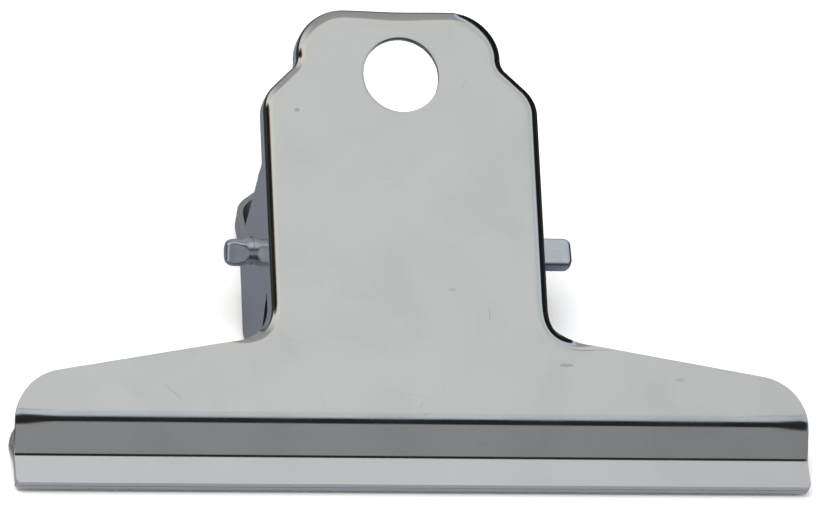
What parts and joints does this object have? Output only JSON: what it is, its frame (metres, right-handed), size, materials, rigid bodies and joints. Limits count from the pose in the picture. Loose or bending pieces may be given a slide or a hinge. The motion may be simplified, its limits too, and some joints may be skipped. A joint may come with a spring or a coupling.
{
  "type": "bulldog clip",
  "caption": "Wide bulldog clip: two bent sheet plates with curled handle edges, folded full-width lips and side ears, hinged on a pin and sprung shut by a coil.",
  "frame": {"origin": "on the rear plate's flat outer face, straight below the middle of the pin", "axes": "+X along the pin, +Y from the pin towards the handles, +Z from the rear plate towards the front plate"},
  "size_m": [0.145, 0.0906, 0.0522],
  "materials": {
    "plate": "polished nickel plate over rolled steel sheet",
    "pin": "bright nickel plate over drawn steel",
    "spring": "drawn spring wire, lightly oiled"
  },
  "bodies": {
    "rear_jaw": {"rear_plate": "plate", "hinge_pin": "pin", "torsion_spring": "spring"},
    "front_jaw": {"front_plate": "plate"}
  },
  "joints": [
    {"name": "handle_squeeze", "type": "hinge", "parent": "rear_jaw", "child": "front_jaw", "pos_m": [0, 0, 0.0164], "axis": [-1, 0, 0], "range_deg": [0, 45], "stiffness_Nm_per_rad": 1.2, "springref_deg": -45.84, "deforming": ["torsion_spring"]}
  ]
}
